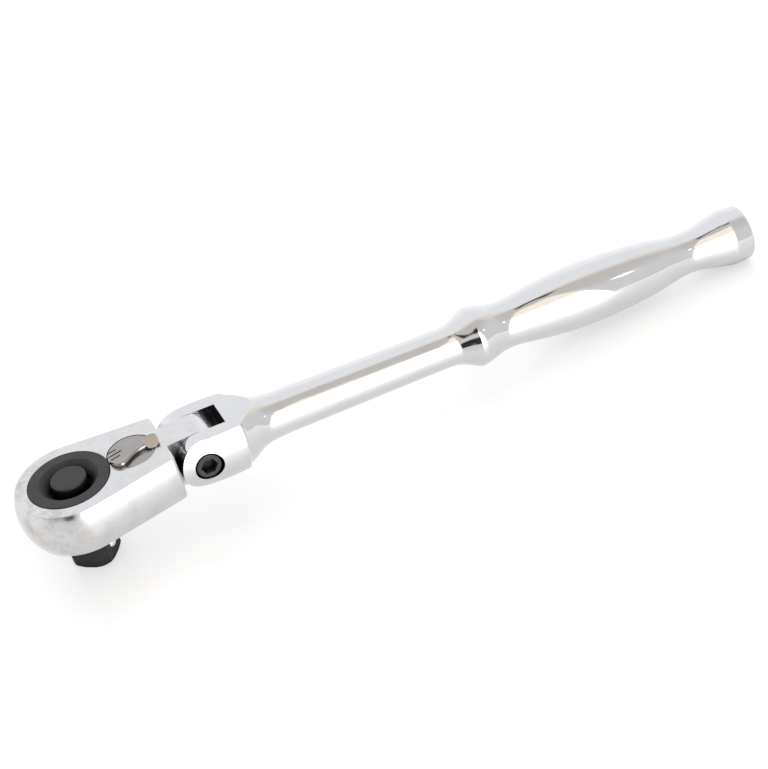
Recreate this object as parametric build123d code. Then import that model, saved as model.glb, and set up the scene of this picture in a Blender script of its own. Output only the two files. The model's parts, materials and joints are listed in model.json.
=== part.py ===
from build123d import *
import math
import os

# Flex-head ratchet wrench with a 3/8-inch square drive, in millimetres.
# The origin is the centre of the drive's flat end, +Z runs up the drive's axis and
# +X runs from the head towards the end of the handle. The head is level and the
# handle droops about its hinge until its end knob touches the same plane as the drive.

# Square drive
SQUARE = 9.525
SQUARE_CORNER_R = 5.88
SQUARE_END_CHAMFER = 0.6
BALL_FACE_ANGLE = -38.0

# Head
HEAD_TOP = 22.6
HEAD_THICK = 12.4
HEAD_BOTTOM = HEAD_TOP - HEAD_THICK
NOSE_R = 12.55
REAR_X = 22.9
REAR_HALF = 8.8
REAR_CORNER_R = 0.9
BELLY_DEPTH = 5.5
BELLY_SWELL = 1.2
TOP_EDGE_R = 0.3
BOTTOM_EDGE_R = 0.9

# Drive gear
TEETH = 72
GEAR_TIP_R = 9.35
GEAR_TOOTH_DEPTH = 0.42
GEAR_TIP_FLAT = 0.06
FLANGE_R = 9.6
FLANGE_PROUD = 0.2
FLANGE_BOTTOM = 20.35
GEAR_BOTTOM = 15.4
JOURNAL_R = 7.25
GEAR_BORE_R = 9.75
GEAR_FLOOR = 15.0
JOURNAL_BORE_R = 7.3
WELL_RIM_R = 7.0
WELL_DEPTH = 2.2
FLANGE_EDGE = 0.15

# Drive gear's small parts
CLIP_RECESS_R = 8.9
CLIP_RECESS_TOP = 11.7
CLIP_OUTER_R = 8.5
CLIP_GROOVE_R = 6.75
CLIP_BOTTOM = 10.8
CLIP_THICK = 0.8
SEAL_WIRE_R = 0.33
SEAL_CENTRE_R = 9.38
SEAL_Z = 21.5
THRUST_INNER_R = 7.4
THRUST_OUTER_R = 9.3
THRUST_THICK = 0.35

# Quick-release button and detent ball
BUTTON_R = 4.2
BUTTON_PROUD = 0.45
BUTTON_EDGE_R = 0.45
BUTTON_BORE_R = 4.75
BUTTON_FLANGE_R = 4.65
BUTTON_FLANGE_BOTTOM = 17.9
BUTTON_FLANGE_TOP = 19.0
RING_THICK = 0.7
RING_INNER_R = 4.3
RING_OUTER_R = 5.1
SPRING_SEAT = 12.2
SPRING_WIRE_R = 0.35
SPRING_COIL_R = 3.3
SPRING_TURNS = 5.0
BALL_R = 1.6
BALL_Z = 3.8
BALL_PROUD = 0.75
BALL_FIT = 0.02
STEM_BORE_FIT = 0.05
RAMP_RATIO = 0.6
STEM_NECK_R = 1.3
STEM_NECK_TOP = 3.2
STEM_TAIL = 1.25
STEM_BORE_FLOOR = 0.8

# Reversing lever and pawl
LEVER_X = 15.3
LEVER_DISC_R = 5.6
LEVER_RECESS_R = 5.75
LEVER_RECESS_DEPTH = 1.6
LEVER_GAP = 0.05
LEVER_BOSS_R = 3.0
LEVER_SHAFT_R = 2.2
LEVER_PILOT_R = 1.9
LEVER_PILOT_BOTTOM = 12.6
LEVER_SWING = 22.0
LEVER_DISC_EDGE = 0.12
RIDGE_WIDTH = 1.25
RIDGE_HEIGHT = 1.1
RIDGE_TOP_R = 0.55
PAD_HEIGHT = 2.0
PAD_START = 3.3
PAD_END = 6.6
PAD_BACK = 0.5
PAD_TOP_WIDTH = 0.95
PAD_GROOVE_WIDTH = 0.3
PAD_GROOVE_DEPTH = 0.8
PAD_TOE = -2.5
PAD_TOE_HEIGHT = 0.3
PAD_SCOOP = (-1.35, 1.25)
PAD_CORNER_R = 1.3
PAD_EDGE_R = 0.2
HATCH_WIDTH = 0.4
HATCH_DEPTH = 0.5
HATCH_ANGLE = 10.0
PAWL_ROCK = 3.5
PAWL_TOP = 19.6
PAWL_BOTTOM = 15.42
PAWL_HUB_R = 4.2
PAWL_FIRST_TOOTH = 22.5
PAWL_LAST_TOOTH = 37.5
PAWL_TOOTH_GAP = 0.06
PAWL_WING_R = 11.1
PAWL_HEEL_BACK = 1.2
PAWL_HEEL_HALF = 4.0
PAWL_ROOT_BACK = 0.8
PAWL_ROOT_FRONT = 3.2
PLUNGER_WINDOW_HALF = LEVER_SWING - PAWL_ROCK + 19
PLUNGER_R = 0.8
PLUNGER_Z = 17.4
PLUNGER_REACH = 2.95
PLUNGER_LENGTH = 2.4
PAWL_SPRING_BACK = -1.25
PAWL_SPRING_R = 0.5
PAWL_SPRING_WIRE_R = 0.13
POCKET_TOP = 19.8
THROAT_FRONT = 4.0
THROAT_SHOULDER = 8.6
THROAT_HALF = 8.2
THROAT_BACK = 2.6
THROAT_BACK_HALF = 3.7
PAWL_HUB_GAP = 0.3
SNAP_WIRE_R = 0.3
SNAP_Z = 13.6
LEVER_SEAL_WIRE_R = 0.28
LEVER_SEAL_R = 2.75
LEVER_SEAL_Z = 20.45

# Hinge and handle, measured from the hinge's axis along the handle
HINGE_X = 29.65
HINGE_Z = HEAD_TOP - HEAD_THICK / 2
TONGUE_HALF = 3.8
YOKE_HALF_THICK = 6.2
FLATS_END = 24.0
SLOT_HALF = 3.9
SLOT_END = 7.1
KNOB_R = 6.83
KNOB_START = 138.0
KNOB_END_R = 6.6
KNOB_END = 142.85
KNOB_EDGE_R = 0.9
WASHER_INNER_R = 2.6
WASHER_OUTER_R = 4.5
WASHER_THICK = 0.35
WASHER_GAP = 0.03
SHOULDER_R = 2.5
SHOULDER_END = 5.0
THREAD_R = 1.95
THREAD_END = 8.4
SCREW_HEAD_R = 3.05
SCREW_HEAD_SEAT = -6.4
SCREW_HEAD_TOP = -9.1
COUNTERBORE_R = 3.45
HEX_SOCKET_FLATS = 3.57
HEX_SOCKET_DEPTH = 1.8
HINGE_FIT = 0.05
SCREW_EDGE_R = 0.45
CLIP_GAP = 3.2
SNAP_GAP = 1.2


def rod(radius, bottom, top):
    """Vertical cylinder about the drive's axis."""
    return Pos(0, 0, bottom) * Cylinder(radius, top - bottom, align=(Align.CENTER, Align.CENTER, Align.MIN))


def lever_rod(radius, bottom, top):
    """Vertical cylinder about the lever's axis."""
    return Pos(LEVER_X, 0, 0) * rod(radius, bottom, top)


def cross_rod(radius, start, end):
    """Cylinder along Y about the hinge's axis, with the hinge at the origin."""
    length = end - start
    return Pos(0, (start + end) / 2, 0) * Rot(90, 0, 0) * Cylinder(radius, length)


def ring(inner, outer, bottom, top):
    return rod(outer, bottom, top) - rod(inner, bottom - 1, top + 1)


def wire_ring(centre_radius, wire_radius, z):
    return Pos(0, 0, z) * Torus(centre_radius, wire_radius)


def turned(points):
    """Solid of revolution about Z from (radius, height) points that start and end on the axis."""
    return revolve(make_face(Polyline(*[(r, 0, z) for r, z in points], close=True)), Axis.Z)


# ---------------------------------------------------------------- head


def head_outline(swell, z):
    """Teardrop outline: nose arc, straight tapered flanks and a straight rear edge."""
    radius = NOSE_R + swell
    half = REAR_HALF + swell
    reach = math.hypot(REAR_X, half)
    angle = math.atan2(half, REAR_X) + math.acos(radius / reach)
    touch = (radius * math.cos(angle), radius * math.sin(angle))
    nose = ThreePointArc(touch, (-radius, 0), (touch[0], -touch[1]))
    flanks = Polyline((touch[0], -touch[1]), (REAR_X, -half), (REAR_X, half), touch)
    face = make_face(nose + flanks)
    face = fillet(face.vertices().filter_by(lambda v: v.X > REAR_X - 0.01), REAR_CORNER_R)
    return Pos(0, 0, z) * face


def head_side_swell(z):
    """How far the bowl-shaped side stands out from the top outline at height z."""
    curve_r = (BELLY_DEPTH**2 + BELLY_SWELL**2) / (2 * BELLY_SWELL)
    offset = z - (HEAD_TOP - BELLY_DEPTH)
    return math.sqrt(curve_r**2 - offset**2) - (curve_r - BELLY_SWELL)


def head_shell():
    levels = 7
    heights = [HEAD_BOTTOM + HEAD_THICK * i / (levels - 1) for i in range(levels)]
    body = loft([head_outline(head_side_swell(z), z) for z in heights])
    body = fillet(body.faces().sort_by(Axis.Z)[0].edges(), BOTTOM_EDGE_R)
    return fillet(body.faces().sort_by(Axis.Z)[-1].edges(), TOP_EDGE_R)


def tongue():
    lug = cross_rod(HEAD_THICK / 2, -TONGUE_HALF, TONGUE_HALF)
    root = Box(
        HINGE_X - REAR_X + 2, 2 * TONGUE_HALF, HEAD_THICK, align=(Align.MAX, Align.CENTER, Align.CENTER)
    )
    return Pos(HINGE_X, 0, HINGE_Z) * (lug + root)


def pawl_pocket():
    """Room for the pawl about the lever's shaft, open to the gear's bore."""
    hub = lever_rod(PAWL_HUB_R + PAWL_HUB_GAP, GEAR_FLOOR, POCKET_TOP)
    back = LEVER_X + THROAT_BACK
    near_side = [(THROAT_FRONT, -THROAT_HALF), (THROAT_SHOULDER, -THROAT_HALF), (back, -THROAT_BACK_HALF)]
    far_side = [(x, -y) for x, y in reversed(near_side)]
    throat = make_face(Polyline(*near_side, *far_side, close=True))
    return hub + Pos(0, 0, GEAR_FLOOR) * extrude(throat, POCKET_TOP - GEAR_FLOOR)


def head_housing():
    body = head_shell() + tongue()
    body -= rod(GEAR_BORE_R, GEAR_FLOOR, HEAD_TOP + 1)
    body -= rod(JOURNAL_BORE_R, HEAD_BOTTOM - 1, GEAR_FLOOR + 1)
    body -= rod(CLIP_RECESS_R, HEAD_BOTTOM - 1, CLIP_RECESS_TOP)
    body -= lever_rod(LEVER_RECESS_R, HEAD_TOP - LEVER_RECESS_DEPTH, HEAD_TOP + 1)
    body -= lever_rod(LEVER_BOSS_R + LEVER_GAP, GEAR_FLOOR, HEAD_TOP)
    body -= pawl_pocket()
    body -= lever_rod(LEVER_PILOT_R + LEVER_GAP, LEVER_PILOT_BOTTOM - 0.2, GEAR_FLOOR + 1)
    body -= Pos(LEVER_X, 0, 0) * wire_ring(LEVER_PILOT_R + 0.1, SNAP_WIRE_R + 0.03, SNAP_Z)
    body -= Pos(HINGE_X, 0, HINGE_Z) * cross_rod(SHOULDER_R + HINGE_FIT, -20, 20)
    return body


# ---------------------------------------------------------------- drive gear


def gear_profile(shift):
    """Outline of the 72 V-shaped teeth, pushed out by shift, with a groove on +X."""
    tip = GEAR_TIP_R + shift
    root = tip - GEAR_TOOTH_DEPTH
    pitch = 2 * math.pi / TEETH
    flat = GEAR_TIP_FLAT / tip / 2
    points = []
    for i in range(TEETH):
        angle = i * pitch
        points.append((root * math.cos(angle), root * math.sin(angle)))
        for side in (-flat, flat):
            edge = angle + pitch / 2 + side
            points.append((tip * math.cos(edge), tip * math.sin(edge)))
    return make_face(Polyline(*points, close=True))


def square_drive():
    """Square with corners turned to a circle and a turned chamfer at its end."""
    bar = Pos(0, 0, HEAD_BOTTOM / 2) * Rot(0, 0, BALL_FACE_ANGLE) * Box(SQUARE, SQUARE, HEAD_BOTTOM)
    end_r = SQUARE_CORNER_R - SQUARE_END_CHAMFER * 1.6
    blank = turned([(0, 0), (end_r, 0), (SQUARE_CORNER_R, SQUARE_END_CHAMFER), (SQUARE_CORNER_R, HEAD_BOTTOM),
                    (0, HEAD_BOTTOM)])
    return bar & blank


def ball_centre_radius():
    return SQUARE / 2 + BALL_PROUD - BALL_R


def along_ball(solid):
    """Turn a solid that points along +X so that it points along the ball's hole."""
    return Pos(0, 0, BALL_Z) * Rot(0, 0, BALL_FACE_ANGLE) * solid


def ball_hole():
    """Hole that the ball slides in, with a mouth too narrow for the ball to fall out."""
    clear_r = BALL_R + 0.05
    face = SQUARE / 2
    mouth_r = math.sqrt(BALL_R**2 - (face - ball_centre_radius()) ** 2) + 0.06
    shoulder = ball_centre_radius() + 0.5
    hole = turned([(0, 0), (clear_r, 0), (clear_r, shoulder), (mouth_r, face), (mouth_r, face + 1),
                   (0, face + 1)])
    return along_ball(Rot(0, 90, 0) * hole)


def drive_gear():
    flange_top = HEAD_TOP + FLANGE_PROUD
    flange = rod(FLANGE_R, FLANGE_BOTTOM, flange_top)
    flange = chamfer(flange.faces().sort_by(Axis.Z)[-1].edges(), FLANGE_EDGE)
    teeth = Pos(0, 0, GEAR_BOTTOM) * extrude(gear_profile(0), FLANGE_BOTTOM - GEAR_BOTTOM)
    body = flange + teeth + rod(JOURNAL_R, HEAD_BOTTOM, GEAR_BOTTOM) + square_drive()
    body -= turned([(0, flange_top - WELL_DEPTH), (BUTTON_BORE_R, flange_top - WELL_DEPTH),
                    (WELL_RIM_R, flange_top), (WELL_RIM_R, flange_top + 1), (0, flange_top + 1)])
    body -= rod(BUTTON_BORE_R, SPRING_SEAT, flange_top)
    body -= rod(RING_OUTER_R + 0.05, BUTTON_FLANGE_TOP, BUTTON_FLANGE_TOP + RING_THICK + 0.1)
    body -= rod(stem_radius() + STEM_BORE_FIT, STEM_BORE_FLOOR, SPRING_SEAT + 1)
    body -= ring(CLIP_GROOVE_R, CLIP_OUTER_R, CLIP_BOTTOM - 0.05, CLIP_BOTTOM + CLIP_THICK + 0.05)
    body -= ring(SEAL_CENTRE_R - SEAL_WIRE_R - 0.04, FLANGE_R + 1, SEAL_Z - SEAL_WIRE_R - 0.05,
                 SEAL_Z + SEAL_WIRE_R + 0.05)
    return body - ball_hole()


def drive_circlip():
    """External circlip with a gap and two plier lugs."""
    clip = ring(CLIP_GROOVE_R + 0.03, CLIP_OUTER_R, CLIP_BOTTOM, CLIP_BOTTOM + CLIP_THICK)
    gap = Pos(CLIP_OUTER_R, 0, CLIP_BOTTOM) * Box(4, CLIP_GAP, 4)
    return clip - gap


def drive_seal():
    return wire_ring(SEAL_CENTRE_R, SEAL_WIRE_R, SEAL_Z)


def thrust_washer():
    return ring(THRUST_INNER_R, THRUST_OUTER_R, GEAR_FLOOR, GEAR_FLOOR + THRUST_THICK)


# ---------------------------------------------------------------- quick release


def stem_radius():
    return ball_centre_radius() - BALL_R - BALL_FIT


def release_button():
    """Push button whose stem holds the ball out, and lets it in when its ramp arrives."""
    stem = stem_radius()
    ramp_start = -(BALL_R + BALL_FIT) * (math.hypot(1, RAMP_RATIO) - 1) / RAMP_RATIO
    ramp_end = ramp_start + (stem - STEM_NECK_R) / RAMP_RATIO
    top = HEAD_TOP + FLANGE_PROUD + BUTTON_PROUD
    body = turned([
        (0, BALL_Z - STEM_TAIL), (stem, BALL_Z - STEM_TAIL), (stem, BALL_Z + ramp_start),
        (STEM_NECK_R, BALL_Z + ramp_end), (STEM_NECK_R, BALL_Z + STEM_NECK_TOP),
        (stem, BALL_Z + STEM_NECK_TOP + 1), (stem, BUTTON_FLANGE_BOTTOM),
        (BUTTON_FLANGE_R, BUTTON_FLANGE_BOTTOM), (BUTTON_FLANGE_R, BUTTON_FLANGE_TOP - 0.02),
        (BUTTON_R, BUTTON_FLANGE_TOP - 0.02), (BUTTON_R, top), (0, top)])
    return fillet(body.faces().sort_by(Axis.Z)[-1].edges(), BUTTON_EDGE_R)


def button_retaining_ring():
    body = ring(RING_INNER_R, RING_OUTER_R, BUTTON_FLANGE_TOP + 0.05, BUTTON_FLANGE_TOP + 0.05 + RING_THICK)
    return body - Pos(-RING_OUTER_R, 0, BUTTON_FLANGE_TOP) * Box(3, 1.4, 4)


def coil_spring(coil_r, wire_r, turns, height):
    """Round-wire compression spring that stands on z = 0."""
    rise = height - 2 * wire_r
    path = Pos(0, 0, wire_r) * Helix(rise / turns, rise, coil_r)
    start = path @ 0
    section = Plane(origin=start, z_dir=path % 0) * Circle(wire_r)
    return sweep(section, path=path, is_frenet=True)


def button_spring():
    seat_gap = 0.05
    height = BUTTON_FLANGE_BOTTOM - SPRING_SEAT - 2 * seat_gap
    coil = coil_spring(SPRING_COIL_R, SPRING_WIRE_R, SPRING_TURNS, height)
    return Pos(0, 0, SPRING_SEAT + seat_gap) * coil


def detent_ball():
    return along_ball(Pos(ball_centre_radius(), 0, 0) * Sphere(BALL_R))


# ---------------------------------------------------------------- reversing lever and pawl


def at_lever(solid):
    """Move a solid that is modelled about the lever's axis to its place."""
    return Pos(LEVER_X, 0, 0) * solid


def towards_gear(solid):
    """Lay a solid that points along +Z in the shaft's cross hole, in the lever's own frame."""
    return Rot(0, 0, LEVER_SWING) * Pos(0, 0, PLUNGER_Z) * Rot(0, -90, 0) * solid


def thumb_ridge():
    """S-shaped rounded rib that starts in a hook at the disc's edge and runs out to the thumb pad."""
    path = Spline((-5.1, -1.3), (-4.5, -2.8), (-3.2, -3.5), (-2.0, -3.0), (-0.6, -2.0), (0.9, -1.35),
                  (4.4, -0.9))
    wall = Pos(0, 0, HEAD_TOP - 0.3) * extrude(trace(path, RIDGE_WIDTH), RIDGE_HEIGHT + 0.3)
    wall = fillet(wall.faces().sort_by(Axis.Z)[-1].edges(), RIDGE_TOP_R)
    return wall & rod(LEVER_DISC_R, 0, HEAD_TOP + PAD_HEIGHT)


def thumb_pad():
    """Tab past the disc's edge: a narrow lip on top, a groove under it and a sloping face for the thumb."""
    base = HEAD_TOP + 0.1
    top = HEAD_TOP + PAD_HEIGHT
    brow = PAD_BACK - PAD_TOP_WIDTH
    toe = (0, PAD_TOE, HEAD_TOP + PAD_TOE_HEIGHT)
    scoop = ThreePointArc((0, brow, top), (0, PAD_SCOOP[0], HEAD_TOP + PAD_SCOOP[1]), toe)
    rest = Polyline(toe, (0, PAD_TOE, base), (0, PAD_BACK, base), (0, PAD_BACK, top), (0, brow, top))
    length = PAD_END - PAD_START
    wedge = Pos(PAD_START, 0, 0) * extrude(make_face(scoop + rest), length, dir=(1, 0, 0))
    plan = RectangleRounded(length, PAD_BACK - PAD_TOE, PAD_CORNER_R)
    plan = Pos(PAD_START + length / 2, (PAD_BACK + PAD_TOE) / 2) * plan
    tab = wedge & Pos(0, 0, base) * extrude(plan, PAD_HEIGHT)
    tab = fillet(tab.faces().sort_by(Axis.Z)[-1].edges(), PAD_EDGE_R)
    groove = Box(2 * length, PAD_GROOVE_WIDTH, 2 * PAD_GROOVE_DEPTH)
    return tab - Pos(PAD_START + length / 2, brow - PAD_GROOVE_WIDTH / 2, top) * groove


def reverse_lever():
    recess_floor = HEAD_TOP - LEVER_RECESS_DEPTH
    disc = rod(LEVER_DISC_R, recess_floor + LEVER_GAP, HEAD_TOP)
    disc = chamfer(disc.faces().sort_by(Axis.Z)[-1].edges(), LEVER_DISC_EDGE)
    body = disc + thumb_ridge() + thumb_pad()
    body += rod(LEVER_BOSS_R, POCKET_TOP, recess_floor + LEVER_GAP)
    body += rod(LEVER_SHAFT_R, GEAR_FLOOR + LEVER_GAP, POCKET_TOP)
    body += rod(LEVER_PILOT_R, LEVER_PILOT_BOTTOM, GEAR_FLOOR + LEVER_GAP)
    body -= towards_gear(Pos(0, 0, 0.5) * Cylinder(PLUNGER_R + LEVER_GAP, 3.6))
    body -= ring(LEVER_SEAL_R - LEVER_SEAL_WIRE_R - 0.03, LEVER_BOSS_R + 1,
                 LEVER_SEAL_Z - LEVER_SEAL_WIRE_R - 0.04, LEVER_SEAL_Z + LEVER_SEAL_WIRE_R + 0.04)
    body -= wire_ring(LEVER_PILOT_R + 0.1, SNAP_WIRE_R + 0.03, SNAP_Z)
    for x, y, length in ((-3.8, 2.85, 2.2), (-3.5, 1.55, 3.6), (-3.75, 0.2, 2.5)):
        body -= Pos(x, y, HEAD_TOP) * Rot(0, 0, HATCH_ANGLE) * Box(length, HATCH_WIDTH, 2 * HATCH_DEPTH)
    return at_lever(body)


def lever_seal():
    return at_lever(wire_ring(LEVER_SEAL_R, LEVER_SEAL_WIRE_R, LEVER_SEAL_Z))


def lever_snap_ring():
    body = wire_ring(LEVER_PILOT_R + 0.1, SNAP_WIRE_R, SNAP_Z)
    return at_lever(body - Pos(LEVER_PILOT_R, 0, SNAP_Z) * Box(2, SNAP_GAP, 2))


def pawl_plunger():
    body = Pos(0, 0, PLUNGER_REACH - PLUNGER_LENGTH / 2) * Cylinder(PLUNGER_R, PLUNGER_LENGTH)
    body = fillet(body.faces().sort_by(Axis.Z)[-1].edges(), 0.5)
    return at_lever(towards_gear(body))


def pawl_spring():
    length = PLUNGER_REACH - PLUNGER_LENGTH - PAWL_SPRING_BACK - 0.05
    coil = coil_spring(PAWL_SPRING_R, PAWL_SPRING_WIRE_R, 4.0, length)
    return at_lever(towards_gear(Pos(0, 0, PAWL_SPRING_BACK) * coil))


def about_lever(solid, angle):
    return Pos(LEVER_X, 0, 0) * Rot(0, 0, angle) * Pos(-LEVER_X, 0, 0) * solid


def pawl_wing():
    """Toothed arm on the +Y side, in mesh with the gear, before it is rocked to neutral."""
    start = math.radians(PAWL_FIRST_TOOTH)
    end = math.radians(PAWL_LAST_TOOTH)
    inner = GEAR_TIP_R - GEAR_TOOTH_DEPTH
    blank = make_face(Polyline(
        (inner * math.cos(start), inner * math.sin(start)),
        (inner * math.cos(end), inner * math.sin(end)),
        (PAWL_WING_R * math.cos(end), PAWL_WING_R * math.sin(end)),
        (LEVER_X - PAWL_HEEL_BACK, PAWL_HEEL_HALF),
        (LEVER_X - PAWL_ROOT_BACK, 0),
        (LEVER_X - PAWL_ROOT_FRONT, 0), close=True))
    height = PAWL_TOP - PAWL_BOTTOM
    solid = Pos(0, 0, PAWL_BOTTOM) * extrude(blank, height)
    cutter = Pos(0, 0, PAWL_BOTTOM - 1) * extrude(gear_profile(PAWL_TOOTH_GAP), height + 2)
    return solid - cutter


def pawl():
    wing = about_lever(pawl_wing(), -PAWL_ROCK)
    body = wing + mirror(wing, Plane.XZ) + lever_rod(PAWL_HUB_R, PAWL_BOTTOM, PAWL_TOP)
    body -= Pos(0, 0, PAWL_BOTTOM - 1) * extrude(gear_profile(PAWL_TOOTH_GAP), PAWL_TOP - PAWL_BOTTOM + 2)
    body -= lever_rod(LEVER_SHAFT_R + LEVER_GAP, PAWL_BOTTOM - 1, PAWL_TOP + 1)
    window = lever_rod(PLUNGER_REACH + 0.08, PLUNGER_Z - PLUNGER_R - 0.1, PLUNGER_Z + PLUNGER_R + 0.1)
    half = math.radians(PLUNGER_WINDOW_HALF)
    reach = 2 * PLUNGER_REACH
    corner = (-reach * math.cos(half), reach * math.sin(half))
    sector = extrude(make_face(Polyline((0, 0), corner, (corner[0], -corner[1]), close=True)), reach)
    body -= window & Pos(LEVER_X, 0, PLUNGER_Z - reach / 2) * sector
    return about_lever(body, PAWL_ROCK)


# ---------------------------------------------------------------- hinge and handle


def droop():
    """Angle at which the knob's underside meets the plane of the drive's end."""
    reach = KNOB_END - KNOB_EDGE_R
    distance = math.hypot(reach, KNOB_END_R)
    return math.degrees(math.asin(HINGE_Z / distance) - math.asin(KNOB_END_R / distance))


def at_hinge(solid):
    return Pos(HINGE_X, 0, HINGE_Z) * Rot(0, droop(), 0) * solid


def handle_profile():
    """Half outline of the turned handle, as (distance from hinge, radius)."""
    yoke = Spline((-7.0, 8.9), (0.0, 9.6), (5.0, 9.75), (9.6, 9.4))
    flare = Spline((9.6, 9.4), (11.7, 7.9), (15.1, 6.05), (17.9, 5.45), (25.7, 5.18),
                   tangents=((0.55, -1), (1, -0.012)))
    shank = Line((25.7, 5.18), (60.8, 4.77))
    collar_front = Spline((60.8, 4.77), (65.1, 5.05), (69.9, 7.25), tangents=((1, -0.012), (1, 0.42)))
    grip = Spline((69.9, 7.25), (72.8, 6.88), (75.5, 6.05), (78.8, 5.7), (85.3, 6.42), (93.3, 7.27),
                  (100.3, 7.5), (108.3, 7.2), (118.3, 6.2), (127.5, 4.95), (132.7, 5.72),
                  (KNOB_START, KNOB_R))
    end = Polyline((KNOB_START, KNOB_R), (KNOB_END, KNOB_END_R), (KNOB_END, 0), (-7.0, 0), (-7.0, 8.9))
    return make_face(yoke + flare + shank + collar_front + grip + end)


def handle():
    body = revolve(Plane.XZ * handle_profile(), Axis.X)
    body = fillet(body.faces().sort_by(Axis.X)[-1].edges(), KNOB_EDGE_R)
    front = cross_rod(YOKE_HALF_THICK, -20, 20)
    flats = Box(FLATS_END, 40, 2 * YOKE_HALF_THICK, align=(Align.MIN, Align.CENTER, Align.CENTER))
    behind = Pos(FLATS_END, 0, 0) * Box(300, 40, 40, align=(Align.MIN, Align.CENTER, Align.CENTER))
    body = body & (front + flats + behind)
    body -= Pos(SLOT_END, 0, 0) * Box(30, 2 * SLOT_HALF, 30, align=(Align.MAX, Align.CENTER, Align.CENTER))
    recess = SLOT_HALF + WASHER_THICK + 2 * WASHER_GAP
    body -= cross_rod(WASHER_OUTER_R + 0.1, -recess, recess)
    body -= cross_rod(SHOULDER_R + HINGE_FIT, SCREW_HEAD_SEAT - 0.1, SHOULDER_END + HINGE_FIT)
    body -= cross_rod(THREAD_R + HINGE_FIT, 0, 20)
    body -= cross_rod(COUNTERBORE_R, -20, SCREW_HEAD_SEAT)
    return at_hinge(body)


def pivot_screw():
    body = cross_rod(SCREW_HEAD_R, SCREW_HEAD_TOP, SCREW_HEAD_SEAT)
    body = fillet(body.faces().sort_by(Axis.Y)[0].edges(), SCREW_EDGE_R)
    body += cross_rod(SHOULDER_R, SCREW_HEAD_SEAT, SHOULDER_END)
    body += cross_rod(THREAD_R, SHOULDER_END, THREAD_END)
    hexagon = RegularPolygon(HEX_SOCKET_FLATS / 2, 6, major_radius=False)
    socket = Pos(0, SCREW_HEAD_TOP, 0) * Rot(-90, 0, 0) * extrude(hexagon, HEX_SOCKET_DEPTH)
    return at_hinge(body - socket)


def friction_washer(side):
    start = SLOT_HALF - WASHER_GAP
    body = cross_rod(WASHER_OUTER_R, start, start + WASHER_THICK)
    body -= cross_rod(WASHER_INNER_R, 0, 10)
    return at_hinge(body if side > 0 else mirror(body, Plane.XZ))


PARTS = {
    "head_housing": head_housing(),
    "drive_gear": drive_gear(),
    "drive_circlip": drive_circlip(),
    "drive_seal": drive_seal(),
    "thrust_washer": thrust_washer(),
    "release_button": release_button(),
    "button_retaining_ring": button_retaining_ring(),
    "button_spring": button_spring(),
    "detent_ball": detent_ball(),
    "reverse_lever": reverse_lever(),
    "lever_seal": lever_seal(),
    "lever_snap_ring": lever_snap_ring(),
    "pawl": pawl(),
    "pawl_plunger": pawl_plunger(),
    "pawl_spring": pawl_spring(),
    "handle": handle(),
    "pivot_screw": pivot_screw(),
    "near_friction_washer": friction_washer(-1),
    "far_friction_washer": friction_washer(1),
}

os.makedirs("parts", exist_ok=True)
for name, solid in PARTS.items():
    export_step(solid, f"parts/{name}.step")
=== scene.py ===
"""Looks for the flex-head ratchet wrench: chrome, black phosphate, nickel and rubber on a pale floor."""
import json
import math

import bpy
from mathutils import Matrix, Vector

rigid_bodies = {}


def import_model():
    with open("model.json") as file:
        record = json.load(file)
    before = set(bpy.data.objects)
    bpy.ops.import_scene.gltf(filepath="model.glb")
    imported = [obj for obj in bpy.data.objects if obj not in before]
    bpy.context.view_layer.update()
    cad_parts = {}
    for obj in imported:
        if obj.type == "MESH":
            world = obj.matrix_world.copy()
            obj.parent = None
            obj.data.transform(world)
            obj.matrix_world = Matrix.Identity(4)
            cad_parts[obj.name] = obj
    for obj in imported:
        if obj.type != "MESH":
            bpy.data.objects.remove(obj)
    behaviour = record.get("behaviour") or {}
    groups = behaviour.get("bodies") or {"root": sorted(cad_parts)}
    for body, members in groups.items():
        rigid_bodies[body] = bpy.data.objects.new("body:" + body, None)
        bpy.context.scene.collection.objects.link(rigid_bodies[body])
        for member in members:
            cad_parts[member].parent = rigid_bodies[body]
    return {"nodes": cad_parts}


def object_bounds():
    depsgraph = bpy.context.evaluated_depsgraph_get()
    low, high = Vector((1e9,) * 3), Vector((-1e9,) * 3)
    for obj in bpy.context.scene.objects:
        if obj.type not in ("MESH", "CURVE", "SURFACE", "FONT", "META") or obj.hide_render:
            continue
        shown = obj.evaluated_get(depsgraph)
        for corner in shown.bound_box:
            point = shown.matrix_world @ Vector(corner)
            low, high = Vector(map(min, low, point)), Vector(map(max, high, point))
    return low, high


for leftover in list(bpy.data.objects):
    bpy.data.objects.remove(leftover)

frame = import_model()
nodes = frame["nodes"]
cad_low, cad_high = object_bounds()

MM = 0.001

# Camera: where it stands and how it is turned, in millimetres and degrees.
CAMERA_PLACE = (-32.956, -434.404, 350.690)
CAMERA_AZIMUTH = 14.0747
CAMERA_ELEVATION = 37.2877
CAMERA_ROLL = 16.1117
CAMERA_LENS = 113.3055
CAMERA_SENSOR = 36.0
CAMERA_NEAREST = 0.01
CAMERA_FARTHEST = 50

# Floor: a round white board, in metres, which glows by itself.
FLOOR_RADIUS = 6.0
FLOOR_SIDES = 96
FLOOR_DROP = 0.00002
FLOOR_GLOW = 0.53
FLOOR_GREYS = ((0.44, 0.44, 0.44, 1), (0.46, 0.46, 0.46, 1))
FLOOR_ROUGHNESS = (0.26, 0.30)
FLOOR_SHEEN = 0.5

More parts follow.
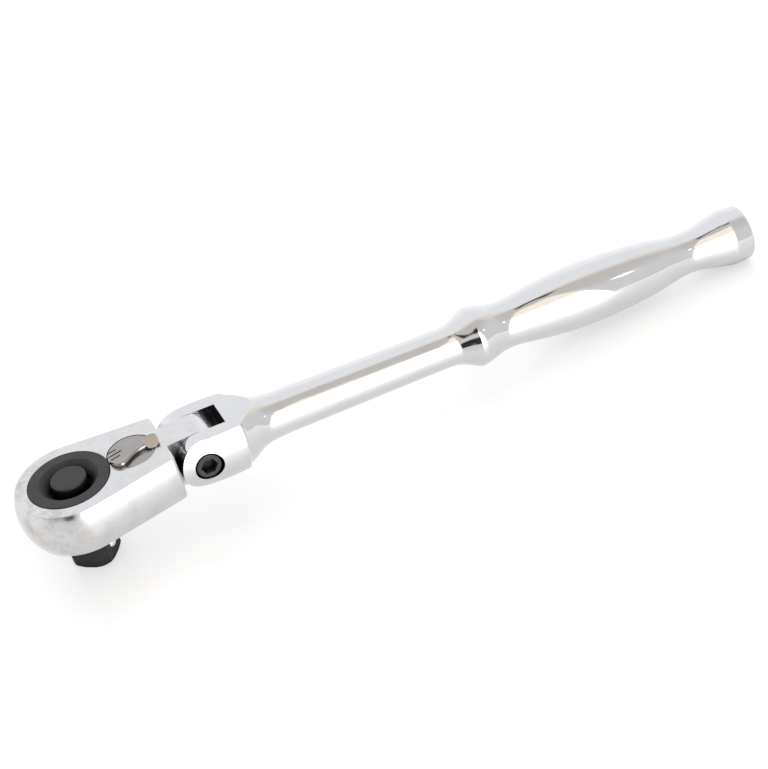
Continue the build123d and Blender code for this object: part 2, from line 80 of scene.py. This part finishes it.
# Tent colours by direction. Heights above the horizon and turns from the front (-Y) are in degrees.
TENT_FRONT = (0.93, 0.93, 0.94, 1)
TENT_TOP = (0.80, 0.775, 0.75, 1)
TENT_TOP_RISE = (30, 55)
TENT_SEAM = (1.12, 1.00, 0.90, 1)
TENT_SEAM_TURN = (86, 102)
TENT_BACK = (1.26, 1.27, 1.31, 1)
TENT_BACK_TURN = (102, 116)
TENT_BACK_TOP = (1.16, 1.17, 1.20, 1)
TENT_BACK_TOP_RISE = (18, 36)

CREAM = (1.48, 1.34, 1.12)
GAP = (0.10, 0.065, 0.045)
HORIZON = (0.75, 0.62, 0.48)
PHOTOGRAPHER = (0.05, 0.04, 0.035)

# Soft-edged rectangles in the tent: colour, turns from and to, heights from and to, softness of the edge.
TENT_PATCHES = (
    (CREAM, (-14, 28), (44, 70), 2),
    (GAP, (43, 77), (76, 86.5), 1.0),
    (PHOTOGRAPHER, (-74, -19), (6, 24), 3),
    (PHOTOGRAPHER, (-38, -19), (-1, 14), 3),
    (PHOTOGRAPHER, (-52, -38), (38, 86), 4),
    (HORIZON, (-10, 40), (-0.2, 1.2), 0.2),
)

# Lamps: place, target, width and height in metres, and power in watts.
FRONT_PANEL = ((0.165, -0.6, 0.315), (0.165, 0, 0.315), 0.45, 0.62, 2.7)
SIDE_LAMP = ((0.315, -0.231, 0.24), (0.128, 0, 0.01), 0.02, 0.02, 0.006)
LAMP_WHITE = (1.0, 1.0, 1.0)

# Chrome. The head is hazier than the handle, and its nose (towards -X) is the most handled.
CHROME_GREYS = ((0.60, 0.602, 0.61, 1), (0.66, 0.66, 0.66, 1))
CHROME_SMUDGE = (0.40, 0.365, 0.33, 1)
CHROME_PIT = (0.22, 0.19, 0.17, 1)
# Painted shade: the near-black colour laid into slots, gaps and recesses, and how far its occlusion reaches.
CHROME_PAINTED_SHADE = (0.022, 0.02, 0.019, 1)
CHROME_SHADE_REACH = 0.007
CHROME_GLOSS = (0.04, 0.10)
HANDLED_X = (0.004, -0.007)
HEAD_SOFTNESS = 0.09
HEAD_HAZE = 0.8

# Black phosphate. Below OILY_Z the drive is darker and has less sheen.
PHOSPHATE_DARK = (0.0117, 0.01196, 0.013, 1)
PHOSPHATE_LIGHT = (0.039, 0.03952, 0.0416, 1)
PHOSPHATE_WORN = (0.16, 0.16, 0.17, 1)
# The deep colour is painted shade, laid near black into recesses.
PHOSPHATE_PAINTED_SHADE = (0.003, 0.0026, 0.0024, 1)
# Painted sparkle: lighter crystal specks laid into the colour below OILY_Z stand in for glints.
PHOSPHATE_PAINTED_SPARKLE = (0.10, 0.095, 0.09, 1)
# Reach of the occlusion that lays the painted shade.
PHOSPHATE_SHADE_REACH = 0.005
OILY_Z = (0.012, 0.009)

# Black oxide of the screw.
OXIDE_GREYS = ((0.022, 0.022, 0.024, 1), (0.045, 0.045, 0.048, 1))
OXIDE_WORN = (0.2, 0.18, 0.16, 1)
# The socket colour is painted shade, laid black into the hex socket by occlusion; below it is its reach.
OXIDE_PAINTED_SHADE = (0.002, 0.002, 0.002, 1)
OXIDE_SHADE_REACH = 0.0025

# Satin nickel of the lever.
NICKEL_GREYS = ((0.29, 0.272, 0.262, 1), (0.38, 0.36, 0.35, 1))
NICKEL_RUBBED = (0.75, 0.72, 0.70, 1)
# The corner colour is painted shade, laid dark into the corners by occlusion; below it is its reach.
NICKEL_PAINTED_SHADE = (0.02, 0.017, 0.015, 1)
NICKEL_SHADE_REACH = 0.0014

# Bare steels and rubber.
BALL_GREYS = ((0.72, 0.72, 0.73, 1), (0.8, 0.8, 0.8, 1))
SPRING_GREYS = ((0.30, 0.29, 0.28, 1), (0.45, 0.44, 0.42, 1))
SPRING_ROUGHNESS = (0.22, 0.35)
TOOL_GREYS = ((0.28, 0.27, 0.26, 1), (0.40, 0.39, 0.38, 1))
TOOL_ROUGHNESS = (0.25, 0.4)
RUBBER_GREYS = ((0.012, 0.012, 0.012, 1), (0.025, 0.025, 0.025, 1))


# ---------------------------------------------------------------- node helpers
class Shader:
    """A material or world node tree with short ways to add and join nodes."""

    def __init__(self, tree):
        self.tree = tree
        tree.nodes.clear()

    def add(self, kind, **properties):
        """A new node of that kind with those properties set."""
        made = self.tree.nodes.new(kind)
        for key, value in properties.items():
            setattr(made, key, value)
        return made

    def feed(self, node, **sources):
        """Sets inputs by name, with _ for a space."""
        for key, source in sources.items():
            self.put(node.inputs[key.replace("_", " ")], source)
        return node

    def put(self, socket, source):
        """Joins a socket to the input, or gives it a fixed value."""
        if isinstance(source, bpy.types.NodeSocket):
            self.tree.links.new(source, socket)
        else:
            socket.default_value = source

    def math(self, operation, a, b=0.0):
        node = self.add("ShaderNodeMath", operation=operation)
        self.put(node.inputs[0], a)
        self.put(node.inputs[1], b)
        return node.outputs[0]

    def span(self, value, low, high, to_low=0.0, to_high=1.0, smooth=True):
        """Maps value from low..high to to_low..to_high, with soft ends unless smooth is off."""
        node = self.add("ShaderNodeMapRange")
        node.interpolation_type = "SMOOTHSTEP" if smooth else "LINEAR"
        for name, source in (("Value", value), ("From Min", low), ("From Max", high),
                             ("To Min", to_low), ("To Max", to_high)):
            self.put(node.inputs[name], source)
        return node.outputs["Result"]

    def blend(self, factor, a, b):
        """Colour a where factor is 0, colour b where it is 1."""
        node = self.add("ShaderNodeMix", data_type="RGBA")
        self.put(node.inputs["Factor"], factor)
        self.put(node.inputs[6], a)
        self.put(node.inputs[7], b)
        return node.outputs[2]

    def place(self, scale=(1, 1, 1), turn=(0, 0, 0)):
        """Object coordinates, which stay with a piece as it moves, stretched and turned."""
        coordinates = self.add("ShaderNodeTexCoord").outputs["Object"]
        mapping = self.add("ShaderNodeMapping")
        self.put(mapping.inputs["Vector"], coordinates)
        mapping.inputs["Scale"].default_value = scale
        mapping.inputs["Rotation"].default_value = turn
        return mapping.outputs["Vector"]

    def coordinate(self, axis):
        """One of the piece's own coordinates, in metres."""
        axes = self.add("ShaderNodeSeparateXYZ")
        self.put(axes.inputs[0], self.place())
        return axes.outputs[axis]

    def noise(self, vector, scale, detail=3.0, rough=0.5):
        node = self.add("ShaderNodeTexNoise")
        self.feed(node, Vector=vector, Scale=scale, Detail=detail, Roughness=rough)
        return node.outputs["Fac"]

    def specks(self, vector, scale, size):
        """Small round spots: 1 inside a spot, 0 outside."""
        node = self.add("ShaderNodeTexVoronoi")
        self.feed(node, Vector=vector, Scale=scale)
        return self.span(node.outputs["Distance"], size, size * 0.6)

    def bump(self, height, distance, strength=1.0, under=None):
        """A surface direction tilted by height; under is another bump that it lies on."""
        node = self.add("ShaderNodeBump")
        self.feed(node, Height=height, Distance=distance, Strength=strength)
        if under is not None:
            self.put(node.inputs["Normal"], under)
        return node.outputs["Normal"]

    def recess(self, reach):
        """1 on open faces, towards 0 deep inside slots and holes."""
        node = self.add("ShaderNodeAmbientOcclusion", samples=8)
        node.inputs["Distance"].default_value = reach
        return node.outputs["AO"]

    def edge(self, radius):
        """1 on sharp edges within radius, 0 on open faces."""
        soft = self.add("ShaderNodeBevel", samples=6)
        soft.inputs["Radius"].default_value = radius
        true = self.add("ShaderNodeNewGeometry").outputs["Normal"]
        dot = self.add("ShaderNodeVectorMath", operation="DOT_PRODUCT")
        self.put(dot.inputs[0], soft.outputs["Normal"])
        self.put(dot.inputs[1], true)
        return self.span(self.math("SUBTRACT", 1.0, dot.outputs["Value"]), 0.02, 0.25)


def new_material(name):
    material = bpy.data.materials.new(name)
    material.use_nodes = True
    return material, Shader(material.node_tree)


def finish_material(shader, **inputs):
    """The principled surface at the end of every material."""
    surface = shader.add("ShaderNodeBsdfPrincipled")
    shader.feed(surface, **inputs)
    output = shader.add("ShaderNodeOutputMaterial")
    shader.put(output.inputs["Surface"], surface.outputs["BSDF"])


# ---------------------------------------------------------------- materials
def chrome(name, soft=0.0, haze=0.0):
    """Bright plate over polished steel: cloudy gloss, fine polishing lines, rare pits, painted shade (near
    black) in the recesses.

    soft adds to the roughness, and haze is how strongly beige handling smudges show.
    """
    material, s = new_material(name)
    flat = s.place()
    along = s.place(scale=(0.1, 1, 1))
    cloud = s.noise(flat, 170, detail=4)
    lines = s.noise(along, 1400, detail=2)
    pits = s.specks(flat, 260, 0.045)
    tint = s.blend(cloud, *CHROME_GREYS)
    smudge = s.span(s.noise(flat, 230, detail=7, rough=0.75), 0.40, 0.72)
    handled = s.span(s.coordinate("X"), *HANDLED_X, 0.3, 1.0)
    smudge = s.math("MULTIPLY", smudge, s.math("MULTIPLY", handled, haze))
    tint = s.blend(smudge, tint, CHROME_SMUDGE)
    pitted = s.blend(s.math("MULTIPLY", pits, 0.6), tint, CHROME_PIT)
    # Painted shade: the colour goes near black and rougher where ambient occlusion finds slots, gaps and
    # recesses.
    painted_recess_shade = s.span(s.recess(CHROME_SHADE_REACH), 0.58, 0.08)
    colour = s.blend(painted_recess_shade, pitted, CHROME_PAINTED_SHADE)
    smooth, dull = CHROME_GLOSS
    gloss = s.span(cloud, 0.35, 0.75, smooth + soft, dull + soft)
    rough = s.math("ADD", gloss, s.math("MULTIPLY", lines, 0.03 + soft / 2))
    rough = s.math("ADD", rough, s.math("MULTIPLY", painted_recess_shade, 0.35))
    waves = s.bump(s.noise(flat, 120, detail=1), 0.00005, 0.35)
    grain = s.bump(lines, 0.000004, 0.5, waves)
    finish_material(s, Base_Color=colour, Metallic=1.0, Roughness=rough, Normal=grain)
    return material


def black_phosphate():
    """Matt black coat: crystal grain, grey sheen, rubbed edges, painted shade (near black) in recesses, oily
    on the drive with painted sparkle.
    """
    material, s = new_material("black_phosphate")
    flat = s.place()
    crystals = s.noise(flat, 5200, detail=2, rough=0.7)
    cloud = s.noise(flat, 300, detail=3)
    colour = s.blend(crystals, PHOSPHATE_DARK, PHOSPHATE_LIGHT)
    worn = s.math("MULTIPLY", s.edge(0.00025), s.span(cloud, 0.4, 0.7))
    colour = s.blend(s.math("MULTIPLY", worn, 0.5), colour, PHOSPHATE_WORN)
    # Painted shade: near black and with almost no sheen where ambient occlusion finds recesses.
    deep = s.span(s.recess(PHOSPHATE_SHADE_REACH), 0.85, 0.25)
    colour = s.blend(deep, colour, PHOSPHATE_PAINTED_SHADE)
    oily = s.span(s.coordinate("Z"), *OILY_Z)
    open_sheen = s.span(deep, 0, 1, 0.36, 0.04, smooth=False)
    sheen = s.math("MULTIPLY", open_sheen, s.span(oily, 0, 1, 1.0, 0.25))
    # Painted sparkle: lighter crystal specks in the colour stand in for glints on the oily drive.
    painted_sparkle = s.math("MULTIPLY", s.span(crystals, 0.62, 0.8), oily)
    colour = s.blend(s.math("MULTIPLY", painted_sparkle, 0.6), colour, PHOSPHATE_PAINTED_SPARKLE)
    rough = s.span(cloud, 0.3, 0.7, 0.42, 0.55)
    finish_material(s, Base_Color=colour, Metallic=0.0, Roughness=rough, Specular_IOR_Level=sheen,
                    Normal=s.bump(crystals, 0.00003, 0.5))
    return material


def black_oxide():
    """Hot blackened screw steel: smoother than phosphate, blue-grey sheen, painted shade (black) inside its
    socket.
    """
    material, s = new_material("black_oxide")
    cloud = s.noise(s.place(), 900, detail=3)
    colour = s.blend(cloud, *OXIDE_GREYS)
    colour = s.blend(s.math("MULTIPLY", s.edge(0.00012), 0.35), colour, OXIDE_WORN)
    # Painted shade: black and with little sheen where ambient occlusion finds the socket.
    deep = s.span(s.recess(OXIDE_SHADE_REACH), 0.80, 0.35)
    colour = s.blend(deep, colour, OXIDE_PAINTED_SHADE)
    sheen = s.span(deep, 0, 1, 0.5, 0.05, smooth=False)
    rough = s.span(cloud, 0.3, 0.7, 0.3, 0.45)
    finish_material(s, Base_Color=colour, Metallic=0.1, Roughness=rough, Specular_IOR_Level=sheen,
                    Normal=s.bump(cloud, 0.00001, 0.4))
    return material


def satin_nickel():
    """Warm grey satin plate with fine brushed lines, brighter rubbed edges and painted shade (dark) in the
    corners.
    """
    material, s = new_material("satin_nickel")
    brushed = s.noise(s.place(scale=(1, 0.07, 1), turn=(0, 0, 0.5)), 3800, detail=2)
    cloud = s.noise(s.place(), 420, detail=3)
    colour = s.blend(cloud, *NICKEL_GREYS)
    colour = s.blend(s.math("MULTIPLY", s.edge(0.0002), 0.7), colour, NICKEL_RUBBED)
    # Painted shade: dark where ambient occlusion finds corners and the base of the ridge.
    corner = s.span(s.recess(NICKEL_SHADE_REACH), 0.80, 0.35)
    colour = s.blend(corner, colour, NICKEL_PAINTED_SHADE)
    rough = s.math("ADD", s.span(cloud, 0.3, 0.7, 0.13, 0.20), s.math("MULTIPLY", brushed, 0.06))
    finish_material(s, Base_Color=colour, Metallic=1.0, Roughness=rough,
                    Normal=s.bump(brushed, 0.000006, 0.4))
    return material


def ball_steel():
    """Hard polished steel, slightly clouded."""
    material, s = new_material("ball_steel")
    cloud = s.noise(s.place(), 1500, detail=2)
    rough = s.span(cloud, 0.3, 0.7, 0.08, 0.16)
    finish_material(s, Base_Color=s.blend(cloud, *BALL_GREYS), Metallic=1.0, Roughness=rough,
                    Normal=s.bump(cloud, 0.000003, 0.3))
    return material


def plain_steel(name, greys, roughness):
    """Unplated steel with drawn or ground lines along the piece's Z."""
    material, s = new_material(name)
    lines = s.noise(s.place(scale=(1, 1, 0.15)), 1200, detail=3)
    rough = s.span(lines, 0.3, 0.7, *roughness)
    finish_material(s, Base_Color=s.blend(lines, *greys), Metallic=1.0, Roughness=rough,
                    Normal=s.bump(lines, 0.000008, 0.4))
    return material


def rubber():
    """Matt black seal rubber."""
    material, s = new_material("seal_rubber")
    grain = s.noise(s.place(), 4000, detail=2)
    rough = s.span(grain, 0.3, 0.7, 0.55, 0.75)
    finish_material(s, Base_Color=s.blend(grain, *RUBBER_GREYS), Roughness=rough,
                    Normal=s.bump(grain, 0.00001, 0.5))
    return material


def floor_board():
    """White board on a light table: an even glow, soft shadows and a satin sheen."""
    material, s = new_material("floor_board")
    grain = s.noise(s.place(), 60, detail=2)
    rough = s.span(grain, 0.3, 0.7, *FLOOR_ROUGHNESS)
    finish_material(s, Base_Color=s.blend(grain, *FLOOR_GREYS), Roughness=rough,
                    Emission_Color=(1, 1, 1, 1), Emission_Strength=FLOOR_GLOW,
                    Specular_IOR_Level=FLOOR_SHEEN)
    return material


def dress_cad_nodes():
    """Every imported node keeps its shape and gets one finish; what isn't named here is spring steel."""
    phosphate = black_phosphate()
    spring = plain_steel("spring_steel", SPRING_GREYS, SPRING_ROUGHNESS)
    tool = plain_steel("tool_steel", TOOL_GREYS, TOOL_ROUGHNESS)
    seal = rubber()
    finishes = {
        "handle": chrome("chrome_plate"),
        "head_housing": chrome("chrome_head", soft=HEAD_SOFTNESS, haze=HEAD_HAZE),
        "drive_gear": phosphate,
        "release_button": phosphate,
        "button_retaining_ring": phosphate,
        "pivot_screw": black_oxide(),
        "reverse_lever": satin_nickel(),
        "detent_ball": ball_steel(),
        "drive_seal": seal,
        "lever_seal": seal,
        "pawl": tool,
        "pawl_plunger": tool,
    }
    for name, node in nodes.items():
        node.data.materials.clear()
        node.data.materials.append(finishes.get(name, spring))


# ---------------------------------------------------------------- stage
def make_floor():
    ring = []
    for step in range(FLOOR_SIDES):
        angle = 2 * math.pi * step / FLOOR_SIDES
        ring.append((FLOOR_RADIUS * math.cos(angle), FLOOR_RADIUS * math.sin(angle), 0.0))
    mesh = bpy.data.meshes.new("floor")
    mesh.from_pydata(ring, [], [tuple(range(FLOOR_SIDES))])
    mesh.materials.append(floor_board())
    floor = bpy.data.objects.new("floor", mesh)
    bpy.context.scene.collection.objects.link(floor)
    floor.location.z = cad_low.z - FLOOR_DROP


def make_camera():
    azimuth = math.radians(CAMERA_AZIMUTH)
    elevation = math.radians(CAMERA_ELEVATION)
    roll = math.radians(CAMERA_ROLL)
    level = math.cos(elevation)
    forward = Vector((math.sin(azimuth) * level, math.cos(azimuth) * level, -math.sin(elevation)))
    level_right = Vector((math.cos(azimuth), -math.sin(azimuth), 0))
    level_down = forward.cross(level_right)
    right = level_right * math.cos(roll) + level_down * math.sin(roll)
    down = -level_right * math.sin(roll) + level_down * math.cos(roll)
    turn = Matrix((right, -down, -forward)).transposed()
    data = bpy.data.cameras.new("camera")
    data.sensor_fit = "HORIZONTAL"
    data.sensor_width = CAMERA_SENSOR
    data.lens = CAMERA_LENS
    data.clip_start = CAMERA_NEAREST
    data.clip_end = CAMERA_FARTHEST
    camera = bpy.data.objects.new("camera", data)
    bpy.context.scene.collection.objects.link(camera)
    camera.matrix_world = Matrix.Translation(Vector(CAMERA_PLACE) * MM) @ turn.to_4x4()
    bpy.context.scene.camera = camera


def add_softbox(name, place, target, width, height, power):
    data = bpy.data.lights.new(name, "AREA")
    data.shape = "RECTANGLE"
    data.size = width
    data.size_y = height
    data.energy = power
    data.color = LAMP_WHITE
    light = bpy.data.objects.new(name, data)
    bpy.context.scene.collection.objects.link(light)
    light.location = place
    aim = Vector(target) - Vector(place)
    light.rotation_euler = aim.to_track_quat("-Z", "Y").to_euler()


def band(s, value, low, high, soft):
    """1 where value is between low and high, fading to 0 across twice soft at each end."""
    inside = s.span(value, low - soft, low + soft)
    return s.math("MULTIPLY", inside, s.span(value, high + soft, high - soft))


def make_world():
    """A pale tent: brighter and bluer behind, greyer and warmer on top, with cream and dark patches."""
    world = bpy.data.worlds.new("tent")
    bpy.context.scene.world = world
    world.use_nodes = True
    s = Shader(world.node_tree)
    axes = s.add("ShaderNodeSeparateXYZ")
    s.put(axes.inputs[0], s.add("ShaderNodeTexCoord").outputs["Generated"])
    east, north, up = axes.outputs
    # Turn is measured from the front (-Y) towards +X, and rise up from the horizon.
    turn = s.math("DEGREES", s.math("ARCTAN2", east, s.math("MULTIPLY", north, -1.0)))
    rise = s.math("DEGREES", s.math("ARCSINE", up))
    aside = s.math("ABSOLUTE", turn)
    tent = s.blend(s.span(rise, *TENT_TOP_RISE), TENT_FRONT, TENT_TOP)
    tent = s.blend(s.span(aside, *TENT_SEAM_TURN), tent, TENT_SEAM)
    back = s.blend(s.span(rise, *TENT_BACK_TOP_RISE), TENT_BACK, TENT_BACK_TOP)
    tent = s.blend(s.span(aside, *TENT_BACK_TURN), tent, back)
    for colour, turns, rises, soft in TENT_PATCHES:
        mask = s.math("MULTIPLY", band(s, turn, *turns, soft), band(s, rise, *rises, soft))
        tent = s.blend(mask, tent, (*colour, 1))
    background = s.add("ShaderNodeBackground")
    s.put(background.inputs["Color"], tent)
    background.inputs["Strength"].default_value = 1.0
    output = s.add("ShaderNodeOutputWorld")
    s.put(output.inputs["Surface"], background.outputs[0])


def make_lights():
    """A tall soft panel in front, behind the camera, and a small lamp on the right."""
    add_softbox("front_panel", *FRONT_PANEL)
    add_softbox("side_lamp", *SIDE_LAMP)


make_camera()
make_world()
make_lights()
make_floor()
dress_cad_nodes()
bpy.context.scene.view_settings.view_transform = "Standard"
